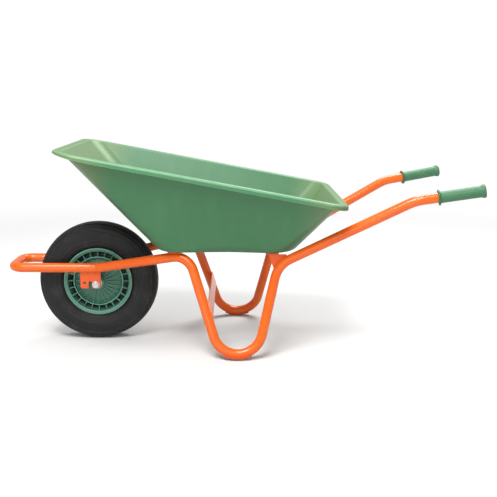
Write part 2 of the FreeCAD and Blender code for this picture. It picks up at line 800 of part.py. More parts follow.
def tray():
    """The moulded tray: sloping walls, a flat flange round the mouth and a turned-down lip."""
    flange = rim_skin(0, tray_wall, 0)
    lip = rim_skin(tray_wall / 2, rim_lip_depth, 0).cut(rim_skin(tray_wall / 4, rim_lip_depth + 1, tray_wall))
    cut_face = Part.Face(Part.makePolygon([
        Vector(-1, 0, -rim_lip_front_depth), Vector(rim_lip_taper, 0, -rim_lip_depth),
        Vector(rim_lip_taper, 0, -2 * rim_lip_depth), Vector(-1, 0, -2 * rim_lip_depth),
        Vector(-1, 0, -rim_lip_front_depth),
    ]))
    cut_face.translate(Vector(0, -rim_half_y - 1, 0))
    taper = cut_face.extrude(Vector(0, 2 * rim_half_y + 2, 0))
    taper.Placement = on_rim_plane(0)
    body = join([tray_bowl(0, 0).Solids[0], flange, lip.cut(taper)])
    body = body.cut(tray_bowl(tray_wall, 3 * tray_wall))
    holes = [Part.makeCylinder(bolt_d / 2 + bolt_hole_clearance, 6 * tray_wall,
                               Vector(x, side * bolt_half_spacing, floor_z - tray_wall))
             for x in (front_strap_x, rear_strap_x) for side in SIDES.values()]
    return body.cut(holes).Solids[0]


parts["tray"] = tray()


# ---------------------------------------------------------------- tray bolts
def at_tray_bolts(make):
    """The same small part at each of the four tray bolts."""
    return Part.makeCompound([make(Vector(x, side * bolt_half_spacing, 0))
                              for x in (front_strap_x, rear_strap_x) for side in SIDES.values()])


head_z = floor_z + tray_wall + tray_washer_t
nut_top_z = strap_under_z


def tray_bolt(at):
    """A dome headed bolt from inside the tray."""
    tip_z = nut_top_z - nut_t - bolt_past_nut
    shank = Part.makeCylinder(bolt_d / 2, head_z - tip_z, at + Vector(0, 0, tip_z))
    cap_r = (bolt_head_d ** 2 / 4 + bolt_head_h ** 2) / (2 * bolt_head_h)
    dome = Part.makeSphere(cap_r, at + Vector(0, 0, head_z + bolt_head_h - cap_r))
    keep = Part.makeCylinder(bolt_head_d / 2, 2 * bolt_head_h, at + Vector(0, 0, head_z))
    return join([shank, dome.common(keep)])


def tray_washer(at):
    """The wide washer between a bolt's head and the tray's floor."""
    base = at + Vector(0, 0, head_z - tray_washer_t)
    return pipe(tray_washer_d / 2, bolt_d / 2 + bolt_hole_clearance, base, Z_AXIS, tray_washer_t)


def tray_nut(at):
    """The nut under a strap."""
    body = hexagon(nut_af, nut_t, at + Vector(0, 0, nut_top_z - nut_t), Z_AXIS)
    return body.cut(Part.makeCylinder(bolt_d / 2, 3 * nut_t, at + Vector(0, 0, nut_top_z - 2 * nut_t)))


parts["tray_bolts"] = at_tray_bolts(tray_bolt)
parts["tray_washers"] = at_tray_bolts(tray_washer)
parts["tray_nuts"] = at_tray_bolts(tray_nut)

# ---------------------------------------------------------------- origin and files
front_end = parts["front_bow"].optimalBoundingBox(False).XMin
rear_end = parts["grip_left"].optimalBoundingBox(False).XMax
to_origin = Vector(-(front_end + rear_end) / 2, 0, 0)

os.makedirs("parts", exist_ok=True)
for name, shape in parts.items():
    shape.translate(to_origin)
    shape.exportStep("parts/%s.step" % name)
print("%d nodes, axle at X %.3f" % (len(parts), to_origin.x))
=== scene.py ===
import math

import bpy
import numpy as np
from mathutils import Matrix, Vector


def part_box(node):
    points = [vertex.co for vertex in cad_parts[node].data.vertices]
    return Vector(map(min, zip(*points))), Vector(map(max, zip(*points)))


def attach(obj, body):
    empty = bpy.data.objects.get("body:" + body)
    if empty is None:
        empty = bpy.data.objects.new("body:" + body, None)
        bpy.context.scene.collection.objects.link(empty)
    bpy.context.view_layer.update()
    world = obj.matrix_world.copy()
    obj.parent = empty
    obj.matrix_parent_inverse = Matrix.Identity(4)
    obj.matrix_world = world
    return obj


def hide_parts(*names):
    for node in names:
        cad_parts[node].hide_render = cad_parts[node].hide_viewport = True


# Single-wheel garden barrow: bent steel tube frame, moulded plastic tray, air-filled wheel.
# Metres, in the CAD model's frame: +X runs from the wheel to the handles, +Z is up, and the
# origin is on the ground under the middle of the barrow. Left is -Y.
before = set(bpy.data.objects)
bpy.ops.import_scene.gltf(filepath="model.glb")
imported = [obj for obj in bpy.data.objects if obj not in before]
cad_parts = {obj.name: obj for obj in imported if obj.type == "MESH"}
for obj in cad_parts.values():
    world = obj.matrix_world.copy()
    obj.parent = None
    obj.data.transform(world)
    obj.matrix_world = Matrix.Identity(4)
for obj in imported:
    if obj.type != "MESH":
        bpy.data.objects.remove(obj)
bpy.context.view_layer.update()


# ---------------------------------------------------------------- frame tubes
# A bow round the wheel, and on each side one tube that makes the rail, both legs and the
# handle: 30 mm round steel tube with a 1.5 mm wall, bent cold and welded at two mitres. It
# is powder coated orange: glossy, with a faint orange peel, scuffed near the ground.
class Value:
    """A shader value that +, - and * work on; each adds a Math node to the value's graph."""

    def __init__(self, graph, socket):
        self.graph = graph
        self.socket = socket

    def maths(self, operation, first, second):
        """The Math node's result for two operands, each a Value or a number."""
        return self.graph.node("Math", {"operation": operation}, {0: first, 1: second})

    def __add__(self, other):
        return self.maths("ADD", self, other)

    def __sub__(self, other):
        return self.maths("SUBTRACT", self, other)

    def __rsub__(self, other):
        return self.maths("SUBTRACT", other, self)

    def __mul__(self, other):
        return self.maths("MULTIPLY", self, other)

    __radd__ = __add__
    __rmul__ = __mul__


class Graph:
    """The node tree of a material or a world, and the one way that nodes are added to it."""

    def __init__(self, owner):
        owner.use_nodes = True
        self.tree = owner.node_tree

    def feed(self, socket, value):
        """Links a Value to a socket, or sets the socket to a plain number or colour."""
        if isinstance(value, Value):
            self.tree.links.new(value.socket, socket)
        else:
            socket.default_value = value

    def node(self, kind, settings, inputs, output=0):
        """Adds a node: its settings first, then its inputs."""
        made = self.tree.nodes.new("ShaderNode" + kind)
        for setting, value in settings.items():
            setattr(made, setting, value)
        for name, value in inputs.items():
            self.feed(made.inputs[name], value)
        return Value(self, made.outputs[output])


class Finish(Graph):
    """A surface finish: one Principled shader, its fixed settings and nodes that vary it."""

    def __init__(self, name, fixed):
        self.material = bpy.data.materials.new(name)
        super().__init__(self.material)
        self.shader = self.tree.nodes["Principled BSDF"]
        for setting, value in fixed.items():
            self.shader.inputs[setting].default_value = value

    def place(self):
        """Object coordinates, which are metres in the barrow's own frame."""
        return self.node("TexCoord", {}, {}, "Object")

    def noise(self, size, detail=3.0, stretch=(1.0, 1.0, 1.0)):
        """Soft random values from 0 to 1 in patches of about size metres."""
        scaled = self.node("Mapping", {}, {"Vector": self.place(), "Scale": stretch})
        return self.node("TexNoise", {}, {
            "Vector": scaled, "Scale": 1.0 / size, "Detail": detail})

    def height(self):
        """Height over the ground."""
        return self.node("SeparateXYZ", {}, {"Vector": self.place()}, "Z")

    def edge(self):
        """1 on a piece's rounded edges and 0 on its faces, from the mesh's own attribute."""
        return self.node("Attribute", {"attribute_name": "edge"}, {}, "Fac")

    def step(self, value, start, end):
        """0 where value is at start, 1 where it is at end, and a smooth change between."""
        return self.node("MapRange", {"interpolation_type": "SMOOTHSTEP"}, {
            "Value": value, "From Min": start, "From Max": end})

    def mix(self, share, first, second):
        """A colour that goes from first to second as share goes from 0 to 1."""
        return self.node("Mix", {"data_type": "RGBA"}, {
            0: share, 6: self.colour(first), 7: self.colour(second)}, 2)

    def colour(self, value):
        """A Value as it is, or (red, green, blue) with an alpha of 1 after them."""
        return value if isinstance(value, Value) else (*value, 1.0)

    def surface(self, colour, roughness, relief, depth):
        """Feeds the shader a colour, a roughness and a bump of relief times depth metres."""
        self.feed(self.shader.inputs["Base Color"], colour)
        self.feed(self.shader.inputs["Roughness"], roughness)
        bump = self.node("Bump", {}, {"Strength": 1.0, "Distance": depth, "Height": relief})
        self.feed(self.shader.inputs["Normal"], bump)
        return self.material


def powder_coat(name, deep, bright, scuffed_to, clear_coat=0.45):
    """Orange paint that shifts from deep to bright in clouds, scuffed up to a height.

    clear_coat is the weight of the gloss over it.
    """
    finish = Finish(name, {"Coat Weight": clear_coat, "Coat Roughness": 0.07,
                           "Specular IOR Level": 0.2})
    cloud = finish.noise(0.11)
    grime = finish.noise(0.012, 5.0)
    peel = finish.noise(0.0016, 2.0)
    near_ground = finish.step(finish.height(), scuffed_to, 0.0)
    scuff = near_ground * finish.step(grime, 0.50, 0.62)
    stain = finish.step(grime, 0.60, 0.80) * 0.35
    primer = (0.23, 0.14, 0.09)
    paint = finish.mix(cloud, deep, bright)
    paint = finish.mix(stain, paint, [0.75 * share for share in deep])
    paint = finish.mix(scuff * 0.7, paint, primer)
    gloss = 0.24 + 0.14 * grime + 0.35 * scuff
    return finish.surface(paint, gloss, peel + 3.0 * cloud, 0.00004)


def finish_nodes(material, *names):
    """Gives CAD nodes a material in place of their plain one."""
    for name in names:
        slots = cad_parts[name].data.materials
        slots.clear()
        slots.append(material)


orange = powder_coat("orange_powder_coat", (0.62, 0.078, 0.002), (0.72, 0.118, 0.005), 0.030)
finish_nodes(orange, "front_bow", "side_rail_left", "side_rail_right")


# ---------------------------------------------------------------- weld beads
# The steel pieces are joined by short runs of wire-fed weld, laid by hand before painting.
# Each run is a low round bead with a ripple about every 2 mm, under the same orange paint.
sides = {"left": -1.0, "right": 1.0}
tube_r = 0.015
axle_x = -0.440704
# points of the right side's tube: the kink beside the wheel, the turn from the rail into
# the front leg, and that leg's end at the foot
kink = np.array([axle_x + 0.005, 0.073, 0.244])
rail_top = np.array([axle_x + 0.2973, 0.1524, 0.304])
leg_foot = np.array([axle_x + 0.3924, 0.240, 0.0174])
bead_r, ripple, ripple_length = 0.0024, 0.16, 0.002


def unit(vectors):
    """Vectors of length 1 that point the same way."""
    vectors = np.asarray(vectors, float)
    return vectors / np.linalg.norm(vectors, axis=-1, keepdims=True)


def band(rings, closed_path, edge=None):
    """A closed surface from rings of points, as (points, faces, edge values).

    rings is an array of (rings, points in a ring, 3). Each ring joins the next by quads. A
    path that isn't closed gets its two end rings filled by fans to their middles. The sum of
    a . (b x c) over the faces' triangles is 6 times the volume, and where that is negative
    the faces are turned over, so that they all face outwards.
    """
    count, around = rings.shape[:2]
    points = rings.reshape(-1, 3)
    values = np.zeros(len(points)) if edge is None else edge.reshape(-1)
    grid = np.arange(count * around).reshape(count, around)
    ends = grid[0], grid[-1]
    if closed_path:
        grid = np.vstack([grid, grid[:1]])
    grid = np.hstack([grid, grid[:, :1]])
    quads = np.stack([grid[:-1, :-1], grid[:-1, 1:], grid[1:, 1:], grid[1:, :-1]], -1)
    quads = quads.reshape(-1, 4)
    faces = quads.tolist()
    triangles = np.vstack([quads[:, [0, 1, 2]], quads[:, [0, 2, 3]]])
    if not closed_path:
        middles = len(points) + np.array([0, 1])
        points = np.vstack([points, rings[0].mean(0), rings[-1].mean(0)])
        values = np.append(values, [0.0, 0.0])
        first = np.stack([np.full(around, middles[0]), np.roll(ends[0], -1), ends[0]], -1)
        last = np.stack([np.full(around, middles[1]), ends[1], np.roll(ends[1], -1)], -1)
        faces += first.tolist() + last.tolist()
        triangles = np.vstack([triangles, first, last])
    a, b, c = (points[triangles[:, k]] for k in range(3))
    if np.sum(a * np.cross(b, c)) < 0:
        faces = [face[::-1] for face in faces]
    return points, faces, values


def piece(name, bands, material, body, replaces=()):
    """One object from closed surfaces, riding on a body in place of the CAD nodes given."""
    starts = np.cumsum([0] + [len(points) for points, _, _ in bands])
    faces = [[index + start for index in face]
             for start, (_, own, _) in zip(starts.tolist(), bands) for face in own]
    mesh = bpy.data.meshes.new(name)
    mesh.from_pydata(np.vstack([points for points, _, _ in bands]).tolist(), [], faces)
    mesh.shade_smooth()
    mesh.set_sharp_from_angle(angle=math.radians(50))
    attribute = mesh.attributes.new("edge", "FLOAT", "POINT")
    attribute.data.foreach_set("value", np.concatenate([edge for _, _, edge in bands]))
    mesh.materials.append(material)
    made = bpy.data.objects.new(name, mesh)
    bpy.context.scene.collection.objects.link(made)
    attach(made, body)
    if replaces:
        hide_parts(*replaces)
    return made


def bead(path, closed_path):
    """A weld bead along a path: circles of radius bead_r (1 + ripple cos(2 pi s / l)).

    s is the distance along the path and l is ripple_length. The circles stand square to the
    path, and an open bead's radius falls to nothing at its ends as the square root of a sine.
    """
    ahead = np.roll(path, -1, 0) - np.roll(path, 1, 0)
    if not closed_path:
        ahead[0], ahead[-1] = path[1] - path[0], path[-1] - path[-2]
    ahead = unit(ahead)
    across = unit(np.cross(ahead, (0.31, 0.17, 0.93)))
    up = np.cross(ahead, across)
    gaps = np.linalg.norm(np.diff(path, axis=0), axis=1)
    along = np.concatenate([[0.0], np.cumsum(gaps)])
    radius = bead_r * (1 + ripple * np.cos(2 * np.pi * along / ripple_length))
    if not closed_path:
        radius *= np.sqrt(np.sin(np.pi * np.linspace(0.02, 0.98, len(path))))
    turn = np.linspace(0, 2 * np.pi, 10, endpoint=False)
    circle = np.cos(turn)[:, None] * across[:, None] + np.sin(turn)[:, None] * up[:, None]
    return band(path[:, None] + radius[:, None, None] * circle, closed_path)


def mirrored(path, side):
    """The same path where side is 1, and its mirror image across the barrow where it is -1."""
    return path * (1.0, side, 1.0)


def mitre_path():
    """Where the bow's tube meets the mitre plane: the tube's circle slid along X onto it."""
    turn, sunk = np.linspace(0, 2 * np.pi, 180, endpoint=False), 0.0008
    normal = unit(np.array([1.0, 0.0, 0.0]) + unit(rail_top - kink))
    circle = np.stack([np.zeros_like(turn), np.cos(turn), np.sin(turn)], -1)
    circle *= tube_r - sunk
    slide = -(circle @ normal) / normal[0]
    return kink + circle + slide[:, None] * (1.0, 0.0, 0.0)


def bracket_path(offset):
    """A line under the bow along one face of the axle bracket, turning up behind the kink."""
    low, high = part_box("axle_bracket_right")
    short_of, under = 0.002, 0.0146
    x = np.linspace(low.x + short_of, high.x - short_of, 90)
    rise = np.clip(x - kink[0], 0, None) * (rail_top - kink)[2] / (rail_top - kink)[0]
    return np.stack([x, np.full_like(x, kink[1] + offset), kink[2] - under + rise], -1)


def brace_path(offset):
    """A line up the back of the right front leg beside the seat of the cross bar."""
    seat_z, half_run, behind = 0.142, 0.021, 0.0138
    up = unit(rail_top - leg_foot)
    on_leg = leg_foot + up * (seat_z - leg_foot[2]) / up[2]
    back = unit(np.array([up[2], 0.0, -up[0]]))
    return (on_leg + np.linspace(-half_run, half_run, 60)[:, None] * up
            + back * behind + np.array([0.0, offset, 0.0]))


def shoe_path(reach):
    """The plate's end under the right foot: an arc round the tube, reach degrees up its bend."""
    splay, bend_r, arc_r = math.radians(17.0), 0.076, tube_r + 0.0012
    bottom = np.array([axle_x + 0.448, 0.240, 0.0174])
    inward = np.array([0.0, -math.sin(splay), math.cos(splay)])
    across = np.cross((1.0, 0.0, 0.0), inward)
    turn = np.radians(np.linspace(-60, 60, 80))[:, None]
    outwards = bend_r + arc_r * np.cos(turn)
    sideways = arc_r * np.sin(turn) * across
    tilt = math.radians(reach)
    swung = -inward * math.cos(tilt) + np.array([1.0, 0.0, 0.0]) * math.sin(tilt)
    return bottom + inward * bend_r + outwards * swung + sideways


weld_paths = [(mitre_path(), True)]
weld_paths += [(bracket_path(offset), False) for offset in (-0.0030, 0.0030)]
weld_paths += [(brace_path(offset), False) for offset in (-0.0062, 0.0062)]
weld_paths += [(shoe_path(reach), False) for reach in (-25.5, 25.5)]
for name, side in sides.items():
    beads = [bead(mirrored(path, side), closed) for path, closed in weld_paths]
    piece("weld_beads_" + name, beads, orange, "frame")


# ---------------------------------------------------------------- feet, brace, straps, gussets
# Cut and pressed from 3 and 4 mm steel strip and plate, welded to the tubes before painting:
# shoes that take the wear under the legs, a bar between the front legs, two straps that
# carry the tray, the rear strap's gussets and the two brackets that hold the axle.
plate_orange = powder_coat("orange_plate_coat", (0.58, 0.060, 0.002),
                           (0.68, 0.092, 0.005), 0.020)
# the bar between the front legs gets a paler, pinker copy of the paint: a painted highlight on
# its face
lit_brace_orange = powder_coat("highlighted_brace_coat", (0.74, 0.165, 0.075),
                           (0.80, 0.220, 0.110), 0.020, 0.05)
finish_nodes(plate_orange, "foot_shoe_left", "foot_shoe_right", "front_cross_strap",
             "rear_cross_strap", "tray_gusset_left", "tray_gusset_right",
             "axle_bracket_left", "axle_bracket_right")
finish_nodes(lit_brace_orange, "leg_brace")


# ---------------------------------------------------------------- handle grips
# Soft green plastic sleeves moulded in one piece with a guard ring in front of the hand and
# a flared end, pushed on the tube's end and held by friction. The hand's part has shallow
# lengthwise ribs, and a fine matt grain that is polished a little on the raised parts.
handle_bend = np.array([axle_x + 0.960, 0.250, 0.4875])
handle_end = np.array([axle_x + 1.1547, 0.275, 0.5215])
grip_length = 0.134


def rounded(corners, radii, steps=6, closed=False, edge_mark=None):
    """Corner points joined by straight runs and true arcs, as (points, edge values).

    corners is (..., n, k) and radii has a value for each corner. With c the cosine of the
    corner's own angle, the arc starts radius sqrt((1 + c) / (1 - c)) from the corner, at most
    longest of a run. It is the rational curve with the corner as its middle point and the
    weight sqrt((1 - c) / 2). A point beyond each end of an arc, hold times as far from the
    corner, keeps the runs' shading flat.
    The edge value is 1 on arcs whose edge_mark is 1, and 0 elsewhere.
    """
    longest, hold = 0.46, 1.07
    corners = np.asarray(corners, float)
    radii = np.asarray(radii, float)
    before, after = np.roll(corners, 1, -2) - corners, np.roll(corners, -1, -2) - corners
    run_before, run_after = (np.linalg.norm(run, axis=-1) for run in (before, after))
    back, ahead = before / run_before[..., None], after / run_after[..., None]
    cosine = np.clip(np.sum(back * ahead, -1), -0.9999, 0.9999)
    reach = np.minimum(radii * np.sqrt((1 + cosine) / (1 - cosine)),
                       longest * np.minimum(run_before, run_after))
    weight = np.sqrt((1 - cosine) / 2)[..., None, None]
    t = np.linspace(0, 1, steps)[:, None]
    start = (corners + back * reach[..., None])[..., None, :]
    end = (corners + ahead * reach[..., None])[..., None, :]
    middle = corners[..., None, :]
    shares = (1 - t) ** 2, 2 * weight * t * (1 - t), t ** 2
    arc = (shares[0] * start + shares[1] * middle + shares[2] * end) / sum(shares)
    before_arc, after_arc = (middle + (point - middle) * hold for point in (start, end))
    arc = np.concatenate([before_arc, arc, after_arc], -2)
    edge_mark = np.ones(corners.shape[-2]) if edge_mark is None else np.asarray(edge_mark, float)
    values = np.zeros(steps + 2)
    values[2:-2] = 1.0
    edge = np.broadcast_to(edge_mark[:, None] * values, arc.shape[:-1])
    shape = arc.shape[:-3] + (-1,)
    points, edge = arc.reshape(shape + (arc.shape[-1],)), edge.reshape(shape)
    if closed:
        return points, edge
    inner = slice(steps + 2, -(steps + 2))
    first, last = corners[..., :1, :], corners[..., -1:, :]
    none = np.zeros(edge.shape[:-1] + (1,))
    return (np.concatenate([first, points[..., inner, :], last], -2),
            np.concatenate([none, edge[..., inner], none], -1))


def turned(profile, edge, origin, axis, count, closed_path, swell=None):
    """A surface turned about an axis from (radius, distance along it) points.

    A point is origin + distance axis + radius (cos(a) e + sin(a) f), where e and f are square
    to the axis. swell(angles, profile) may give each grid point its own radius.
    """
    axis = unit(axis)
    first = unit(np.cross(axis, (0.0, 0.0, 1.0) if abs(axis[2]) < 0.9 else (1.0, 0.0, 0.0)))
    second = np.cross(axis, first)
    angle = np.linspace(0, 2 * np.pi, count, endpoint=False)
    radius = np.repeat(profile[:, :1], count, 1) if swell is None else swell(angle, profile)
    around = np.cos(angle)[:, None] * first + np.sin(angle)[:, None] * second
    rings = (np.asarray(origin) + profile[:, None, 1:2] * axis
             + radius[:, :, None] * around[None])
    return band(rings, closed_path, np.repeat(edge[:, None], count, 1))


grip_finish = Finish("green_grip_plastic", {"Specular IOR Level": 0.3, "Coat Weight": 0.06,
                                            "Coat Roughness": 0.35})
grain = grip_finish.noise(0.0011, 2.0)
tone = grip_finish.noise(0.03, 4.0)
green = grip_finish.mix(tone, (0.036, 0.120, 0.055), (0.056, 0.170, 0.080))
green = grip_finish.mix(grip_finish.edge() * 0.8, green, (0.018, 0.042, 0.022))
grip_green = grip_finish.surface(green, 0.36 + 0.16 * grain + 0.1 * tone, grain, 0.00018)

# (radius, distance from the guard's front, radius of the corner, worn), from the middle of
# the bore's blind end out over the guard and back to the middle of the cap
grip_corners = np.array([
    (0.0004, 0.1300, 0.0000, 0), (0.0151, 0.1300, 0.0004, 0), (0.0151, 0.0000, 0.0005, 0),
    (0.0230, 0.0000, 0.0020, 1), (0.0230, 0.0050, 0.0018, 1), (0.0185, 0.0052, 0.0012, 0),
    (0.0170, 0.0100, 0.0060, 0), (0.0170, 0.1200, 0.0080, 0), (0.0195, 0.1270, 0.0015, 1),
    (0.0195, 0.1340, 0.0025, 1), (0.0004, 0.1340, 0.0000, 0),
])
grip_ribs, grip_rib_depth = 20, 0.00045
ribs_start, ribs_stop, rib_fade = 0.012, 0.118, 0.006
outside_r, hand_r = 0.0165, 0.017


def grip_swell(angle, profile):
    """Radius less depth (1 - cos(n a)) / 2 for n ribs on the hand's part, fading at its ends."""
    radius, along = profile[:, :1], profile[:, 1:2]
    fade_in = np.clip((along - ribs_start) / rib_fade, 0, 1)
    fade_out = np.clip((ribs_stop - along) / rib_fade, 0, 1)
    ribbed = (radius > outside_r) * fade_in * fade_out
    return radius - grip_rib_depth * ribbed * (1 - np.cos(grip_ribs * angle)) / 2


grip_profile, grip_edge = rounded(grip_corners[:, :2], grip_corners[:, 2],
                                  edge_mark=grip_corners[:, 3])
# more rings along the hand's part, where the ribs are
hand_rings = np.linspace(0.0125, 0.1175, 36)
on_hand = (grip_profile[:, 1] > hand_rings[0]) & (grip_profile[:, 0] > outside_r)
at = int(np.argmax(on_hand))
hand_part = np.stack([np.full_like(hand_rings, hand_r), hand_rings], -1)
grip_profile = np.insert(grip_profile, at, hand_part, 0)
grip_edge = np.insert(grip_edge, at, np.zeros_like(hand_rings))
for name, side in sides.items():
    end = mirrored(handle_end, side)
    along = unit(end - mirrored(handle_bend, side))
    shape = turned(grip_profile, grip_edge, end - along * grip_length, along, 120, False,
                   grip_swell)
    piece("moulded_grip_" + name, [shape], grip_green, "frame",
          ["grip_" + name])


# ---------------------------------------------------------------- axle and its fastenings
# The wheel turns on a 12 mm bolt through both brackets, with a washer under its head and
# nut. Sleeves keep the hub in the middle. All are bright zinc plated steel: forged hexagons
# with a 30 degree chamfer, faintly blue and yellow from the plating's rinse.
axle_line = np.array([0.0, 1.0, 0.0])
axle_centre = np.array([axle_x, 0.0, 0.1905])
zinc_finish = Finish("bright_zinc_plate", {"Metallic": 1.0})
tint = zinc_finish.noise(0.009, 3.0)
scratch = zinc_finish.noise(0.0009, 3.0)
zinc_colour = zinc_finish.mix(tint, (0.44, 0.46, 0.48), (0.58, 0.55, 0.49))
zinc_colour = zinc_finish.mix(zinc_finish.edge() * 0.5, zinc_colour, (0.78, 0.78, 0.78))
zinc = zinc_finish.surface(zinc_colour, 0.24 + 0.22 * scratch, scratch, 0.00005)


def hexagon_swell(across_flats):
    """Radius of a hexagon, half its flats over cos(a) within 30 degrees of a flat's middle.

    The profile's own radius is kept where it is smaller, and that cuts the chamfer.
    """
    def swell(angle, profile):
        """The hexagon's own radius, or the profile's where that is smaller."""
        from_flat = (angle + np.pi / 6) % (np.pi / 3) - np.pi / 6
        return np.minimum(profile[:, :1], across_flats / 2 / np.cos(from_flat))
    return swell


def hexagon_piece(across_flats, height, bore_r, origin, axis, chamfered_base):
    """A hexagon with its corners cut back by a 30 degree cone, bored where bore_r isn't 0.

    Its blank is a cylinder a thousandth wider than the corners, and the cone's flat end is
    985 thousandths of the width across the flats.
    """
    corner_r = across_flats / math.sqrt(3) * 1.001
    cone_r = across_flats / 2 * 0.985
    cone_h = (corner_r - cone_r) * math.tan(math.radians(30))
    base = [(cone_r, 0.0), (corner_r, cone_h)] if chamfered_base else [(corner_r, 0.0)]
    outside = base + [(corner_r, height - cone_h), (cone_r, height)]
    if bore_r > 0:
        corners = np.array(outside + [(bore_r, height), (bore_r, 0.0)])
    else:
        corners = np.array([(0.0004, 0.0)] + outside + [(0.0004, height)])
    profile, edge = rounded(corners, np.full(len(corners), 0.0004), 4, bore_r > 0)
    return turned(profile, edge, origin, axis, 96, bore_r > 0, hexagon_swell(across_flats))


def thread(radius, start, end, pitch, origin, axis):
    """A threaded bar, of radius less depth (1 + cos(2 pi s / pitch - a)) / 2 at distance s.

    That is a helical ridge. The bar's last pitch is thinner, by lead_in at its very end.
    """
    depth, lead_in, rings_per_pitch = pitch * 0.3, 0.0006, 6
    along = np.linspace(start, end, int((end - start) / pitch * rings_per_pitch))
    profile = np.stack([np.full_like(along, radius), along], -1)

    def swell(angle, own):
        """The ridge's radius at each angle and each distance along."""
        wave = np.cos(2 * np.pi * own[:, 1:2] / pitch - angle)
        fade = np.clip((end - own[:, 1:2]) / pitch, 0, 1)
        return own[:, :1] - depth * (1 + wave) / 2 - lead_in * (1 - fade)
    return turned(profile, np.zeros_like(along), origin, axis, 32, False, swell)


washer_face, bolt_r, thread_start, bolt_end = 0.0775, 0.006, 0.076, 0.0905
head_seat = axle_centre - axle_line * washer_face
nut_seat = axle_centre + axle_line * washer_face
head = hexagon_piece(0.018, 0.0075, 0.0, head_seat, -axle_line, False)
shank_corners = np.array([(bolt_r, -washer_face - 0.001), (bolt_r, thread_start)])
shank = turned(shank_corners, np.zeros(2), axle_centre, axle_line, 48, False)
tip = thread(bolt_r, thread_start, bolt_end, 0.00175, axle_centre, axle_line)
piece("axle_bolt_forged", [head, shank, tip], zinc, "frame", ["axle_bolt"])
nut = hexagon_piece(0.018, 0.010, bolt_r, nut_seat, axle_line, True)
piece("axle_nut_forged", [nut], zinc, "frame", ["axle_nut"])
finish_nodes(zinc, "axle_washers", "axle_spacer_left", "axle_spacer_right")


# ---------------------------------------------------------------- rim
# Two green polypropylene mouldings, left and right, meet on the wheel's middle plane. Each
# has a lip that holds the tyre, a ring of 24 pockets between the tyre's seat and an inner
# ring, and a cone web with radial ribs that runs in to a long hub.
rim_finish = Finish("green_rim_plastic", {"Specular IOR Level": 0.5, "Coat Weight": 0.25,
                                          "Coat Roughness": 0.25})
grain = rim_finish.noise(0.0009, 2.0)
tone = rim_finish.noise(0.035, 4.0)
green = rim_finish.mix(tone, (0.032, 0.128, 0.080), (0.055, 0.182, 0.116))
# painted shade on the pockets' deep floors: squared distances in square metres from the axle and
# the middle plane
from_axle = rim_finish.node("VectorMath", {"operation": "SUBTRACT"}, {
    0: rim_finish.place(), 1: tuple(axle_centre)})
run_x, run_y, run_z = (rim_finish.node("SeparateXYZ", {}, {"Vector": from_axle}, letter)
                       for letter in "XYZ")
out_squared = run_x * run_x + run_z * run_z
outside_inner_ring = rim_finish.step(out_squared, 0.0065, 0.0068)
in_ring = outside_inner_ring * (1.0 - rim_finish.step(out_squared, 0.0092, 0.0096))
pocket_shade = in_ring * (1.0 - rim_finish.step(run_y * run_y, 0.00058, 0.00084))
# the pockets' floors are painted dark, a painted shade
green = rim_finish.mix(pocket_shade * 0.85, green, (0.008, 0.022, 0.017))
# the ribs and the marked edges are painted pale, a painted highlight
green = rim_finish.mix(rim_finish.edge() * 0.85, green, (0.190, 0.440, 0.350))
rim_green = rim_finish.surface(green, 0.34 + 0.14 * grain + 0.08 * tone, grain, 0.00009)

pocket_count = 24
# (radius, distance from the middle plane, radius of the corner, painted pale as a highlight)
shell_corners = np.array([
    (0.0110, 0.0000, 0.0002, 0), (0.0170, 0.0000, 0.0002, 0), (0.0170, 0.0310, 0.0020, 0),
    (0.0760, 0.0100, 0.0020, 0), (0.0760, 0.0000, 0.0002, 0), (0.0920, 0.0000, 0.0002, 0),
    (0.0920, 0.0140, 0.0015, 0), (0.1000, 0.0220, 0.0015, 0), (0.1010, 0.0335, 0.0010, 0),
    (0.1090, 0.0345, 0.0012, 1), (0.1090, 0.0380, 0.0016, 1), (0.1055, 0.0380, 0.0016, 1),
    (0.0985, 0.0362, 0.0015, 1), (0.0975, 0.0238, 0.0015, 0), (0.0885, 0.0150, 0.0015, 0),
    (0.0885, 0.0030, 0.0012, 0), (0.0800, 0.0030, 0.0012, 0), (0.0800, 0.0300, 0.0012, 1),
    (0.0770, 0.0300, 0.0012, 1), (0.0770, 0.0140, 0.0030, 0), (0.0200, 0.0350, 0.0040, 0),
    (0.0200, 0.0500, 0.0012, 1), (0.0110, 0.0500, 0.0008, 1),
])
pocket_rib = np.array([(0.0790, 0.0020), (0.0895, 0.0020), (0.0895, 0.0140), (0.0985, 0.0230),
                       (0.0985, 0.0312), (0.0790, 0.0292)])
web_rib = np.array([(0.0190, 0.0330), (0.0190, 0.0412), (0.0782, 0.0202), (0.0782, 0.0120)])


def rib(shape, thickness, angle, side):
    """A thin moulded rib in a radial plane of the wheel, with rounded long edges.

    Four copies of its shape lie across the thickness, the outer two drawn in by 0.5 mm
    towards the shape's middle.
    """
    radial = np.array([math.cos(angle), 0.0, math.sin(angle)])
    across = np.array([-math.sin(angle), 0.0, math.cos(angle)])
    loop, _ = rounded(shape, np.full(len(shape), 0.0008), 3, True)
    middle = loop.mean(0)
    drawn_in = loop - 0.0005 * unit(loop - middle)
    loops = np.stack([drawn_in, loop, loop, drawn_in])
    places = thickness * np.array([-0.5, -0.28, 0.28, 0.5])
    rings = (axle_centre + loops[:, :, :1] * radial + loops[:, :, 1:] * axle_line * side
             + places[:, None, None] * across)
    edge = np.zeros(rings.shape[:2])
    # the rib's two faces are marked, and so painted pale as a highlight
    edge[[0, 3]] = 1.0
    return band(rings, False, edge)


shell_profile, shell_edge = rounded(shell_corners[:, :2], shell_corners[:, 2], 5, True,
                                    shell_corners[:, 3])
rib_angles = 2 * np.pi * np.arange(pocket_count) / pocket_count
for name, side in sides.items():
    bands = [turned(shell_profile, shell_edge, axle_centre, axle_line * side, 168, True)]
    bands += [rib(pocket_rib, 0.0022, angle, side) for angle in rib_angles]
    bands += [rib(web_rib, 0.0018, angle, side) for angle in rib_angles]
    piece("rim_moulding_" + name, bands, rim_green, "wheel",
          ["rim_half_" + name])


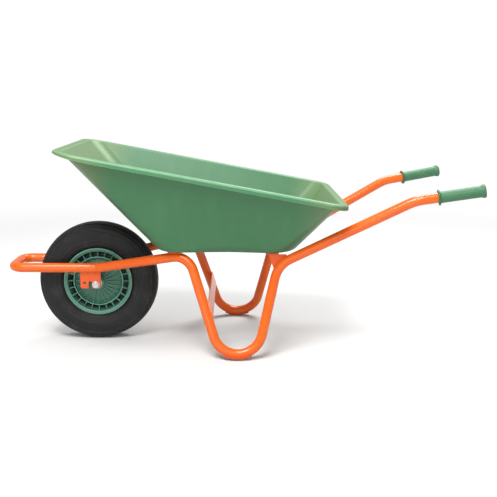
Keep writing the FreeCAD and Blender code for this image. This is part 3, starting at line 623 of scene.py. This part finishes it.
# ---------------------------------------------------------------- tyre
# A 381 mm air-filled tyre of black rubber over two plies, cured in a mould: broad grooves
# run round a low crown, finer ones round the shoulders and side walls, and its beads grip
# the rim. The rubber is satin, and a little dusty on the grooves' edges.
tyre_finish = Finish("black_tyre_rubber", {"Specular IOR Level": 0.22})
cloud = tyre_finish.noise(0.045, 5.0)
pores = tyre_finish.noise(0.0014, 3.0)
edge_mark = tyre_finish.edge()
rubber = tyre_finish.mix(cloud, (0.007, 0.007, 0.0075), (0.016, 0.0155, 0.0155))
dusty = tyre_finish.step(cloud, 0.50, 0.72) * 0.12 + 0.85 * edge_mark
rubber = tyre_finish.mix(dusty, rubber, (0.085, 0.082, 0.078))
satin = 0.33 + 0.14 * pores + 0.14 * cloud
tyre_black = tyre_finish.surface(rubber, satin, pores + 2.0 * cloud, 0.00018)

# half section from the bead's toe to the crown:
# (radius, distance from the middle, radius of the corner, worn)
tyre_half = np.array([
    (0.1005, 0.0225, 0.0008, 0), (0.1013, 0.0333, 0.0010, 0), (0.1110, 0.0338, 0.0020, 0),
    (0.1180, 0.0420, 0.0030, 0), (0.1325, 0.0466, 0.0120, 0), (0.1475, 0.0472, 0.0120, 0),
    (0.1605, 0.0463, 0.0120, 0), (0.1725, 0.0430, 0.0100, 0), (0.1822, 0.0360, 0.0080, 0),
    (0.1872, 0.0255, 0.0120, 0), (0.1895, 0.0135, 0.0200, 0), (0.1903, 0.0020, 0.0200, 0),
])
# (which run of the section, share along it, width, depth), from the crown inwards
tyre_grooves = [
    (10, 0.34, 0.0050, 0.0045), (8, 0.85, 0.0048, 0.0042), (8, 0.22, 0.0034, 0.0030),
    (7, 0.62, 0.0034, 0.0028), (7, 0.10, 0.0030, 0.0022), (6, 0.42, 0.0026, 0.0014),
    (4, 0.10, 0.0018, 0.0008), (3, 0.55, 0.0018, 0.0009),
]


def grooved(section, grooves):
    """A section with grooves cut square to its runs, four corners to a groove.

    The corners are at the groove's place less and plus half its width on the run, and less
    and plus a quarter of it, moved in by its depth.
    """
    for run, share, width, depth in grooves:
        start, end = section[run, :2], section[run + 1, :2]
        ahead = unit(end - start)
        inward = np.array([-abs(ahead[1]), -abs(ahead[0])])
        place = start + share * (end - start)
        corners = [place - ahead * width / 2, place - ahead * width / 4 + inward * depth,
                   place + ahead * width / 4 + inward * depth, place + ahead * width / 2]
        rounds = [[0.0006, 1], [0.0008, 0], [0.0008, 0], [0.0006, 1]]
        section = np.insert(section, run + 1, np.hstack([corners, rounds]), 0)
    return section


tyre_half = grooved(tyre_half, tyre_grooves)
tyre_inside = np.array([
    (0.1835, 0.0090, 0.0080, 0), (0.1770, 0.0270, 0.0080, 0), (0.1600, 0.0385, 0.0080, 0),
    (0.1400, 0.0400, 0.0080, 0), (0.1200, 0.0360, 0.0080, 0), (0.1060, 0.0280, 0.0080, 0),
])
opposite = (1.0, -1.0, 1.0, 1.0)
tyre_section = np.vstack([tyre_half, tyre_half[::-1] * opposite,
                          tyre_inside[::-1] * opposite, tyre_inside])
tyre_profile, tyre_edge = rounded(tyre_section[:, :2], tyre_section[:, 2], 4, True,
                                  tyre_section[:, 3])
carcass = turned(tyre_profile, tyre_edge, axle_centre, axle_line, 160, True)
piece("ribbed_tyre", [carcass], tyre_black, "wheel", ["tyre"])

# The air tube inside it and its valve are the same kind of black rubber, and the valve's
# cap is black plastic. The bushes pressed into the hub are natural white nylon.
finish_nodes(tyre_black, "inner_tube", "valve_stem")
cap_finish = Finish("black_cap_plastic", {"Specular IOR Level": 0.5})
cap_grain = cap_finish.noise(0.0012, 3.0)
cap_colour = cap_finish.mix(cap_grain, (0.012, 0.012, 0.013), (0.030, 0.030, 0.031))
finish_nodes(cap_finish.surface(cap_colour, 0.35 + 0.2 * cap_grain, cap_grain, 0.0001),
             "valve_cap")
nylon_finish = Finish("white_nylon", {"Specular IOR Level": 0.45})
nylon_grain = nylon_finish.noise(0.004, 4.0)
nylon_colour = nylon_finish.mix(nylon_grain, (0.66, 0.64, 0.56), (0.80, 0.79, 0.73))
finish_nodes(nylon_finish.surface(nylon_colour, 0.4 + 0.15 * nylon_grain, nylon_grain, 0.0001),
             "hub_bush_left", "hub_bush_right")


# ---------------------------------------------------------------- tray
# One deep tray, injection moulded in green polypropylene about 4 mm thick: a flat floor,
# sloping walls that meet in large rounds, a flange round the sloping mouth and a lip turned
# down outside it. It is finely grained all over, has a painted tan reflection at both ends,
# and a painted highlight on the lip with some rubbed wear.
tray_finish = Finish("green_tray_plastic", {"Specular IOR Level": 0.35, "Coat Weight": 0.10,
                                            "Coat Roughness": 0.3})
grain = tray_finish.noise(0.0013, 3.0)
cloud = tray_finish.noise(0.16, 4.0)
flow = tray_finish.noise(0.05, 3.0, (1.0, 1.0, 0.25))
# paler paint on the lip and the mouth's inner edge: a painted highlight, with some rubbed wear
lip_highlight_and_rub = tray_finish.edge() * (0.10 + 0.3 * tray_finish.noise(0.02, 4.0))
green = tray_finish.mix(cloud, (0.034, 0.136, 0.052), (0.046, 0.163, 0.069))
green = tray_finish.mix(0.25 * tray_finish.step(flow, 0.5, 0.75), green, (0.062, 0.195, 0.086))
to_rear = tray_finish.node("SeparateXYZ", {}, {"Vector": tray_finish.place()}, "X")
# a tan tint over both ends of the tray, a painted reflection
painted_end_reflection = 1.0 - tray_finish.step(to_rear, -0.44, -0.34) + tray_finish.step(to_rear, 0.17, 0.27)
green = tray_finish.mix(0.35 * painted_end_reflection, green, (0.190, 0.205, 0.085))
green = tray_finish.mix(lip_highlight_and_rub, green, (0.210, 0.420, 0.240))
tray_gloss = 0.33 + 0.14 * grain + 0.1 * flow
tray_green = tray_finish.surface(green, tray_gloss, grain + 6.0 * flow, 0.00016)

tray_wall = 0.004
floor_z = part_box("tray")[0].z
mouth_front = np.array([axle_x - 0.0875, 0.6285])
mouth_rear = np.array([axle_x + 0.7720, 0.4735])
mouth_run = float(np.linalg.norm(mouth_rear - mouth_front))
slope = (mouth_rear - mouth_front) / mouth_run
mouth_half, front_round, rear_round = 0.295, 0.080, 0.062


def outline(low_x, high_x, half_y, low_r, high_r):
    """A rectangle with round corners, as (x, y) points: 20 to a side and 14 to a corner."""
    share = np.linspace(0, 1, 20, endpoint=False)[:, None]
    turn = np.linspace(0, np.pi / 2, 14, endpoint=False)[:, None]

    def run(start, end):
        """A straight side from start up to end, without end itself."""
        return np.array(start) + share * (np.array(end) - np.array(start))

    def corner(x, y, radius, start):
        """A quarter circle about (x, y) from the angle start, without its last point."""
        return np.hstack([x + radius * np.cos(start + turn), y + radius * np.sin(start + turn)])

    quarter = np.pi / 2
    return np.vstack([
        run((low_x + low_r, -half_y), (high_x - high_r, -half_y)),
        corner(high_x - high_r, -half_y + high_r, high_r, -quarter),
        run((high_x, -half_y + high_r), (high_x, half_y - high_r)),
        corner(high_x - high_r, half_y - high_r, high_r, 0.0),
        run((high_x - high_r, half_y), (low_x + low_r, half_y)),
        corner(low_x + low_r, half_y - low_r, low_r, quarter),
        run((low_x, half_y - low_r), (low_x, -half_y + low_r)),
        corner(low_x + low_r, -half_y + low_r, low_r, 2 * quarter),
    ])


def on_mouth(front, side, rear, depth):
    """The mouth's outline drawn in by three insets, depth below its own sloping plane."""
    flat = outline(front, mouth_run - rear, mouth_half - side,
                   front_round - side, rear_round - side)
    x = mouth_front[0] + flat[:, 0] * slope[0] + depth * slope[1]
    z = mouth_front[1] + flat[:, 0] * slope[1] - depth * slope[0]
    return np.stack([x, flat[:, 1], z], -1)


def on_floor(inset, thickness, height):
    """The floor's outline drawn in by an inset, its corner radii less a thickness."""
    flat = outline(axle_x + 0.206 + inset, axle_x + 0.622 - inset, 0.172 - inset,
                   0.055 - thickness, 0.075 - thickness)
    return np.hstack([flat, np.full((len(flat), 1), height)])


floor_outside = on_floor(0.0, 0.0, floor_z)
floor_inside = on_floor(0.0048, tray_wall, floor_z + tray_wall)
mouth_outside = on_mouth(0.020, 0.022, 0.022, 0.0)
mouth_inside = on_mouth(0.0256, 0.0264, 0.0276, 0.0)
# the wall's outside stops where it meets the flange's underside, a wall's thickness down
fall = mouth_outside - floor_outside
flange_share = tray_wall / (fall @ np.array([-slope[1], 0.0, slope[0]]))
under_flange = mouth_outside - fall * flange_share[:, None]
from_front = (mouth_outside[:, 0] - mouth_front[0]) / slope[0]
# the lip hangs 7 mm at the very front, and 16 mm from 95 mm behind there to the rear
lip_depth = np.interp(from_front, (0.0, 0.095), (0.007, 0.016))
lip_in = on_mouth(tray_wall, tray_wall, tray_wall, 0.0)
lip_out = on_mouth(0.0, 0.0, 0.0, 0.0)
lip_top = on_mouth(0.003, 0.003, 0.003, 0.0)
down = np.array([slope[1], 0.0, -slope[0]])
floor_middle_x = axle_x + 0.414


def towards_middle(points, share):
    """Points on a level floor, moved towards its middle by a share of the way."""
    target = points * (0.0, 0.0, 1.0) + (floor_middle_x, 0.0, 0.0)
    return points + share * (target - points)


tray_corners = np.stack([
    towards_middle(floor_outside, 0.55), floor_outside, under_flange,
    lip_in + down * tray_wall, lip_in + down * lip_depth[:, None],
    lip_out + down * lip_depth[:, None], lip_top, mouth_inside, floor_inside,
    towards_middle(floor_inside, 0.55),
], 1)
tray_rounds = [0.0, 0.042, 0.004, 0.002, 0.0015, 0.0018, 0.0085, 0.0090, 0.038, 0.0]
# the lip and, less, the mouth's inner edge are painted pale: a painted highlight, with some
# rubbed wear
tray_highlight_and_rub = [0, 0, 0, 0, 0, 1, 1, 0.45, 0, 0]
tray_rows, tray_edge = rounded(tray_corners, tray_rounds, 7, edge_mark=tray_highlight_and_rub)
tray_shape = band(tray_rows.transpose(1, 0, 2), False, tray_edge.transpose(1, 0))
piece("moulded_tray", [tray_shape], tray_green, "frame", ["tray"])


# ---------------------------------------------------------------- tray bolts
# Four 8 mm bolts with low domed heads go down through wide washers, the tray's floor and
# the two straps, and are held by nuts below. All are bright zinc plated steel.
finish_nodes(zinc, "tray_bolts", "tray_washers")
strap_under = floor_z - 0.003
tray_nut_seats = [(x, y, strap_under) for x in (axle_x + 0.254, axle_x + 0.552)
                  for y in (-0.095, 0.095)]
tray_nut_shapes = [hexagon_piece(0.013, 0.0065, 0.0040, seat, (0.0, 0.0, -1.0), True)
                   for seat in tray_nut_seats]
piece("tray_nuts_forged", tray_nut_shapes, zinc, "frame", ["tray_nuts"])


# ---------------------------------------------------------------- floor, light and camera
# The barrow stands on a plain pale floor under wide soft lights, seen from its left side
# a little above the tray.
floor_mesh = bpy.data.meshes.new("pale_floor")
floor_half = 3.6
floor_corners = [(x * floor_half, y * floor_half, 0)
                 for x, y in ((-1, -1), (1, -1), (1, 1), (-1, 1))]
floor_mesh.from_pydata(floor_corners, [], [(0, 1, 2, 3)])
floor = bpy.data.objects.new("pale_floor", floor_mesh)
bpy.context.scene.collection.objects.link(floor)
floor_finish = Finish("pale_floor_paint", {"Specular IOR Level": 0.2})
floor_tone = floor_finish.noise(0.4, 3.0)
floor_colour = floor_finish.mix(floor_tone, (0.62, 0.62, 0.62), (0.64, 0.64, 0.64))
spread = floor_finish.node("VectorMath", {"operation": "LENGTH"},
                           {0: floor_finish.place()}, "Value")
floor_finish.feed(floor_finish.shader.inputs["Alpha"], floor_finish.step(spread, 3.2, 1.3))
floor_mesh.materials.append(
    floor_finish.surface(floor_colour, 0.8 + 0.1 * floor_tone, floor_tone, 0.0001))

# the background is white to the camera, and lights the barrow at 0.55 of that strength
world = bpy.data.worlds.new("studio")
sky = Graph(world)
background = sky.tree.nodes["Background"]
sky.feed(background.inputs["Color"], (1.0, 1.0, 1.0, 1.0))
seen = sky.node("LightPath", {}, {}, "Is Camera Ray")
sky.feed(background.inputs["Strength"],
         sky.node("MapRange", {}, {"Value": seen, "To Min": 0.55, "To Max": 1.0}))
bpy.context.scene.world = world
bpy.context.scene.view_settings.view_transform = "Standard"


lit_point = (0.0, 0.0, 0.3)


def soft_light(name, place, width, height, power):
    """A flat lamp of a width and a height in metres and a power in watts, facing lit_point."""
    lamp = bpy.data.lights.new(name, "AREA")
    lamp.shape = "RECTANGLE"
    lamp.size = width
    lamp.size_y = height
    lamp.energy = power
    lit = bpy.data.objects.new(name, lamp)
    back = unit(np.array(place) - np.array(lit_point))
    across = unit(np.cross((0.0, 0.0, 1.0) if abs(back[2]) < 0.99 else (0.0, 1.0, 0.0), back))
    turn = np.stack([across, np.cross(back, across), back], -1)
    lit.matrix_world = Matrix.LocRotScale(place, Matrix(turn.tolist()).to_quaternion(), None)
    bpy.context.scene.collection.objects.link(lit)


soft_light("overhead_front", (-0.6, -1.5, 3.0), 1.5, 1.5, 128.0)
soft_light("overhead_rear", (0.8, 1.4, 2.8), 1.5, 1.5, 92.0)
soft_light("left_strip", (0.0, -2.4, 2.2), 3.0, 0.22, 22.0)
soft_light("low_left", (-1.0, -3.4, 0.7), 2.0, 0.8, 17.0)

# the camera's place, angles and lens, fitted to points of the photograph
camera_place = (-0.0033, -2.5214, 0.8134)
tilt, pan, roll = 0.2033, 0.0180, 0.0083
ahead = np.array([math.sin(pan) * math.cos(tilt), math.cos(pan) * math.cos(tilt),
                  -math.sin(tilt)])
level = unit(np.cross(ahead, (0.0, 0.0, 1.0)))
upright = np.cross(level, ahead)
right = math.cos(roll) * level + math.sin(roll) * upright
top = -math.sin(roll) * level + math.cos(roll) * upright
view = bpy.data.cameras.new("side_view")
view.lens = 57.55
view.sensor_width = 36.0
view.clip_end = 200.0
camera = bpy.data.objects.new("side_view", view)
camera_turn = Matrix(np.stack([right, top, -ahead], -1).tolist()).to_quaternion()
camera.matrix_world = Matrix.LocRotScale(camera_place, camera_turn, None)
bpy.context.scene.collection.objects.link(camera)
bpy.context.scene.camera = camera

bpy.context.view_layer.update()
